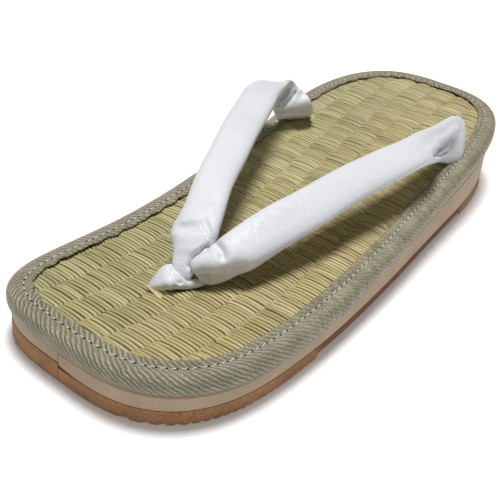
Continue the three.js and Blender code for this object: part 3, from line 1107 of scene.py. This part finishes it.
def stitch_tree():
    tree, give, result = start_tree("stitch_row", {
        "Path": "geometry", "Pitch": "float", "Length": "float", "Thick": "float", "Rise": "float",
        "Hole": "float", "Thread": "material", "Dark": "material", "Seed": "int"})
    path = step(tree, "GeometryNodeMeshToCurve", {"Mesh": give["Path"]})
    walk = step(tree, "GeometryNodeResampleCurve", {"Curve": path}, mode="LENGTH")
    tree.links.new(give["Pitch"], walk.inputs["Length"])
    half = calc(tree, "MULTIPLY", give["Length"], 0.5)
    stitch = step(tree, "GeometryNodeJoinGeometry")
    for part in (thread_bar(tree, give, half), sunk_hole(tree, give, half)):
        tree.links.new(part.outputs[0], stitch.inputs[0])
    facing = step(tree, "FunctionNodeAxesToRotation", {
        "Primary Axis": step(tree, "GeometryNodeInputTangent"), "Secondary Axis": (0.0, 0.0, 1.0)},
        primary_axis="X", secondary_axis="Z")
    swing = blend_vector(tree, Z=chance(tree, *STITCH_SWING, give["Seed"]))
    skewed = step(tree, "FunctionNodeRotateRotation", {
        "Rotation": facing, "Rotate By": step(tree, "FunctionNodeEulerToRotation", {"Euler": swing})},
        rotation_space="LOCAL")
    row = step(tree, "GeometryNodeInstanceOnPoints", {
        "Points": walk, "Instance": stitch, "Rotation": skewed})
    real = step(tree, "GeometryNodeRealizeInstances", {"Geometry": row})
    smooth = step(tree, "GeometryNodeSetShadeSmooth", {"Geometry": real})
    tree.links.new(smooth.outputs[0], result.inputs["Geometry"])
    return tree


def stitch_path():
    edge, girth = even_loop(STITCH_LINE)
    height = seat_height(edge[:, 1]) + STITCH["height"]
    mesh = bpy.data.meshes.new("stitch_path")
    links = [(k, (k + 1) % EDGE_POINTS) for k in range(EDGE_POINTS)]
    mesh.from_pydata((np.column_stack([edge, height]) * MM).tolist(), links, [])
    return mesh, girth


stitch_line, stitch_girth = stitch_path()
stitches = grow("binding_stitches", stitch_tree(), {
    "Pitch": STITCH["pitch"] * MM, "Length": STITCH["length"] * MM, "Thick": STITCH["thick"] * MM,
    "Rise": STITCH["rise"] * MM, "Hole": STITCH["hole"] * MM, "Thread": thread, "Dark": needle_hole_shade,
    "Seed": STITCH_SEED}, stitch_line)
ride_and_print(stitches, "white_leatherette")
print("stitches:", int(stitch_girth / STITCH["pitch"]))

# %% [markdown]
# ## The straps
# Each strap is a padded band of white leatherette. A table gives the centre of each section,
# its lift above the mat, which way its wide axis points, and its width and thickness. Creases
# are soft troughs pressed in along lines that run from one place on the skin to another.

# %% Strap tables
BAND_COLUMNS = "x y lift heading pitch width thick"
OUTER_STRAP = table(
    BAND_COLUMNS,
    (7.0, -77.2, 4.6, -60, -20, 8, 8),
    (8.8, -75.6, 6.0, -55, -22, 11.8, 11.6),
    (12.1, -71.5, 7.7, -42, -25, 14.0, 12.2),
    (14.8, -64.1, 10.9, -25, -27, 16.0, 10.6),
    (18.5, -48.6, 15.5, -14, -26, 16.7, 7.2),
    (22.4, -31.0, 18.0, -10, -24, 16.4, 6.8),
    (25.6, -10.0, 19.5, -9, -20, 16.0, 6.5),
    (29.4, 12.0, 19.5, -8, -15, 16.0, 6.2),
    (32.4, 31.0, 18.5, -5, -16, 15.2, 6.0),
    (31.6, 49.7, 13.0, 6, -63, 15.6, 6.0),
    (32.4, 60.2, 9.9, -15, -68, 19.5, 6.0),
    (33.5, 68.1, 8.0, -35, -62, 21.0, 5.6),
    (34.0, 72.6, 5.7, -31, -65, 17.6, 4.4),
)
INNER_STRAP = table(
    BAND_COLUMNS,
    (5.1, -81.6, 1.2, 222, 0, 3.0, 1.8),
    (4.8, -81.2, 4.1, 222, -4, 6.0, 2.8),
    (3.4, -79.0, 6.6, 220, -6, 8.8, 3.8),
    (2.2, -75.9, 8.8, 216, -8, 11, 5),
    (1.1, -73.3, 10.6, 213, -9, 13.2, 6),
    (-1.8, -68.1, 13.4, 212, -8, 16.6, 7),
    (-5.8, -58.8, 17.0, 207, 0, 15.2, 6.5),
    (-13.2, -44.6, 20.5, 206, 8, 14.8, 6.5),
    (-20.5, -28.0, 22.5, 204, 12, 15.2, 6.5),
    (-28.4, -10.6, 23.7, 204, 12, 15.5, 6.5),
    (-37.2, 10.3, 23.9, 204, 7, 15.8, 6.2),
    (-42.2, 21.8, 23.5, 194, -1, 15.7, 5.8),
    (-44.6, 32.1, 21.6, 210, -1, 13.7, 4.8),
    (-42.9, 37.4, 17.2, 238, -7, 15.0, 4.0),
    (-39.8, 38.7, 13.8, 244, -8, 17.6, 3.6),
    (-37.2, 39.7, 10.5, 235, -8, 18.0, 3.6),
    (-37.0, 42.8, 6.7, 229, -7, 17.0, 3.6),
    (-39.8, 47.9, 2.2, 228, -6, 14.8, 3.4),
    (-41.9, 51.9, -2.5, 229, -5, 12.8, 3.4),
    (-42.2, 53.0, -5.3, 232, -5, 11.8, 3.4),
)
THONG = table(
    BAND_COLUMNS,
    (10.1, -74.0, 1.6, 313, -30, 2.4, 2.2),
    (9.1, -77.7, 2.2, 313, -28, 3.2, 3.0),
    (6.6, -80.7, 2.0, 313, -18, 4.2, 3.6),
    (2.1, -83.9, 4.1, 313, -12, 10.8, 5.6),
    (-0.3, -86.9, 2.6, 313, -8, 8.4, 4.6),
    (-2.4, -88.6, -0.2, 313, -5, 5, 3.2),
    (-2.8, -88.6, -5.3, 313, 0, 4.5, 3),
)
print("rows of the straps and the thong:", len(OUTER_STRAP), len(INNER_STRAP), len(THONG))

# %% Strap shapes
BAND_SIDES = 64
BAND_STEPS = 16
SECTION_POWER = {"round": 2.0, "flat": 1.6}
RUN_STEP = 0.05


def unit(vectors):
    return vectors / np.linalg.norm(vectors, axis=-1, keepdims=True)


def band_frame(rows, where):
    """Centre, wide axis, thin axis and half sizes of a band at places counted in rows."""
    at = {name: column_curve(rows, range(len(rows)), name) for name in rows[0]}

    def centre(s):
        y = at["y"](s)
        return np.stack([at["x"](s), y, seat_height(y) + MAT_TOP + at["lift"](s)], -1)

    run = unit(centre(where + RUN_STEP) - centre(where - RUN_STEP))
    heading, pitch = np.radians(at["heading"](where)), np.radians(at["pitch"](where))
    level = np.cos(pitch)
    wide = np.stack([np.cos(heading) * level, np.sin(heading) * level, np.sin(pitch)], -1)
    wide = unit(wide - run * np.sum(wide * run, -1, keepdims=True))
    return centre(where), wide, np.cross(run, wide), at["width"](where) / 2, at["thick"](where) / 2


def band_points(rows, where, turns):
    """Points on a band's skin for places along it and turns round its section."""
    centre, wide, thin, half, depth = band_frame(rows, where)
    power = SECTION_POWER["round"] + SECTION_POWER["flat"] * np.clip(1 - depth / half, 0, 1)

    def rounded(v):
        return np.sign(v) * np.abs(v) ** (2 / power[:, None])

    across = (half[:, None] * rounded(np.cos(turns)))[..., None] * wide[:, None, :]
    through = (depth[:, None] * rounded(np.sin(turns)))[..., None] * thin[:, None, :]
    return centre[:, None, :] + across + through


def band_rings(rows, steps=BAND_STEPS, sides=BAND_SIDES):
    where = np.linspace(0, len(rows) - 1, (len(rows) - 1) * steps + 1)
    turns = 2 * np.pi * np.arange(sides) / sides
    return band_points(rows, where, turns[None, :].repeat(len(where), 0))


def band_faces(rings, first):
    count, sides = rings.shape[:2]
    faces = [face[::-1] for face in ring_faces(count, sides, first)]
    last = first + (count - 1) * sides
    return faces + [tuple(range(first, first + sides)), tuple(range(last + sides - 1, last - 1, -1))]


outer_rings = band_rings(OUTER_STRAP)
inner_rings = band_rings(INNER_STRAP)
print("rings of the two straps:", len(outer_rings), len(inner_rings))

# %% Creases
CREASE_STEPS = 40
CREASE_COLUMNS = "line width depth"


def skin_normals(rings):
    along_band = np.gradient(rings, axis=0)
    around = np.roll(rings, -1, 1) - np.roll(rings, 1, 1)
    return unit(np.cross(around, along_band))


def press_creases(rows, rings, creases):
    """Presses soft troughs, or raises ridges where the depth is below zero, along drawn lines."""
    normals = skin_normals(rings)
    move = np.zeros(rings.shape[:2])
    for crease in creases:
        marks = np.array(crease["line"], float)
        share = np.linspace(0, len(marks) - 1, CREASE_STEPS)
        where = np.interp(share, range(len(marks)), marks[:, 0])
        turns = np.radians(np.interp(share, range(len(marks)), marks[:, 1]))
        line = band_points(rows, where, turns[:, None])[:, 0]
        away = np.linalg.norm(rings[:, :, None, :] - line[None, None], axis=-1).min(-1)
        move -= crease["depth"] * np.exp(-((away / crease["width"]) ** 2))
    return rings + normals * move[..., None]


OUTER_CREASES = table(
    CREASE_COLUMNS,
    ([(2.55, 216), (2.55, 237), (2.55, 255), (2.5, 267), (2.4, 273)], 1.2, 1.7),
    ([(1.05, 339), (1.9, 348), (2.45, 348)], 4.6, 4),
    ([(8.15, 288), (8.7, 270), (9.65, 255), (10.45, 249)], 1.9, -1.8),
    ([(8.2, 309), (9.1, 273), (9.85, 267)], 1.1, 1.6),
    ([(9.95, 264), (10.15, 270), (9.9, 282)], 0.8, 1.2),
    ([(8.15, 318), (8.9, 303), (9.6, 285)], 0.7, 1.2),
)
INNER_CREASES = table(
    CREASE_COLUMNS,
    ([(5.2, 69), (5.3, 84), (5.4, 93)], 1.3, -0.9),
    ([(4.9, 48), (4.85, 81), (4.95, 96)], 2, 0.3),
    ([(5.35, 93), (4.95, 114), (4.4, 162)], 1.1, -0.6),
    ([(5.4, 99), (5, 123), (4.65, 168)], 1.7, 1.2),
    ([(4.85, 42), (4.7, 42)], 2.6, -0.7),
    ([(4.25, 168), (3.9, 135), (3.4, 117), (2.75, 111), (2.15, 114)], 0.9, 2.4),
    ([(12.75, 264), (12.95, 279), (13.45, 324)], 0.7, 1.6),
    ([(13.3, 258), (13.55, 273), (13.85, 306)], 0.7, 1.6),
    ([(13.85, 246), (14.1, 267), (14.35, 282)], 0.7, 1.4),
    ([(14.3, 324), (14.85, 282), (15.6, 264), (15.9, 240)], 0.8, 1.5),
)


outer_rings = press_creases(OUTER_STRAP, outer_rings, OUTER_CREASES)
inner_rings = press_creases(INNER_STRAP, inner_rings, INNER_CREASES)
print("creases on the two straps:", len(OUTER_CREASES), len(INNER_CREASES))

# %% Strap skins
GRAIN = {"cells": 1.6, "soft": 0.8}


def vinyl_finish():
    finish, tree, shader = start_finish("white_leatherette", roughness=0.38, values={
        "Specular IOR Level": 0.42, "Coat Weight": 0.08, "Coat Roughness": 0.22})
    place = object_place(tree)
    cells = step(tree, "ShaderNodeTexVoronoi", {
        "Vector": place, "Scale": 1500.0, "Randomness": 1.0}, feature="DISTANCE_TO_EDGE")
    soft = grain_noise(tree, place, scale=420.0, detail=3.0)
    cloudy = grain_noise(tree, place, scale=40.0, detail=3.0)
    paint(tree, shader, ramp(tree, cloudy, [(0.3, linear(221, 224, 229)), (0.7, linear(232, 234, 239))]))
    pebbles = calc(tree, "MULTIPLY", cells.outputs["Distance"], GRAIN["cells"])
    height = calc(tree, "ADD", pebbles, calc(tree, "MULTIPLY", soft, GRAIN["soft"]))
    bump(tree, shader, height, distance=0.2, strength=0.7)
    return finish


vinyl = vinyl_finish()
strap_points = np.concatenate([outer_rings.reshape(-1, 3), inner_rings.reshape(-1, 3)])
strap_faces = band_faces(outer_rings, 0) + band_faces(inner_rings, outer_rings.shape[0] * BAND_SIDES)
straps = make_piece("strap_skins", strap_points, strap_faces, vinyl)
ride_and_print(straps, "white_leatherette", "strap_upper")

# %% [markdown]
# ## The toe thong
# The thong is a narrow loop of the same leatherette. It comes out from under the knot, ends in
# a point at the slit of the mat, and shows the two close seam lines where it was turned.

# %% Toe thong
THONG_SEAMS = table(
    CREASE_COLUMNS,
    ([(3.1, 93), (2.9, 75), (2.45, 42)], 0.55, 0.75),
    ([(3, 99), (2.75, 84), (2.4, 57)], 0.55, 0.75),
)
thong_rings = press_creases(THONG, band_rings(THONG), THONG_SEAMS)
thong = make_piece("thong_skin", thong_rings.reshape(-1, 3), band_faces(thong_rings, 0), vinyl)
ride_and_print(thong, "white_leatherette", "toe_thong")

# %% [markdown]
# ## Loose stalks
# The thong's pull has torn the mat a little at its slit, and three pale stalks lie loose
# there. Each is a thin band with its own short table, like the straps.

# %% Loose stalks at the slit
STALK_COLUMNS = "x y lift heading"
LOOSE_STALKS = [
    table(
        STALK_COLUMNS,
        (-3.8, -90.2, 0.7, -107),
        (-0.7, -91.1, 1.1, -103),
        (2.0, -91.5, 0.8, -96),
        (4.7, -91.7, 0.2, -96),
    ),
    table(
        STALK_COLUMNS,
        (-2.4, -89.4, 0.8, -106),
        (0.9, -90.3, 1.3, -97),
        (3.6, -90.1, 0.3, -87),
    ),
    table(
        STALK_COLUMNS,
        (-0.2, -89.0, 0.5, -89),
        (2.9, -88.9, 1.0, -79),
        (5.3, -87.9, 0.3, -69),
    ),
]
STALK = {"pitch": 0, "width": 1.3, "thick": 0.8}
STALK_STEPS = 6
STALK_SIDES = 10

stalk_points, stalk_faces = [], []
for stalk in LOOSE_STALKS:
    rings = band_rings([{**row, **STALK} for row in stalk], STALK_STEPS, STALK_SIDES)
    stalk_faces += band_faces(rings, sum(len(part) for part in stalk_points))
    stalk_points.append(rings.reshape(-1, 3))
straw = mottled_finish(
    "pale_straw", roughness=0.5, scale=600.0, detail=3.0, low=(190, 172, 122), high=(228, 214, 168),
    relief={"distance": 0.1, "strength": 0.4})
stalks = make_piece("loose_stalks", np.concatenate(stalk_points), stalk_faces, straw)
ride_and_print(stalks, "rush_mat")
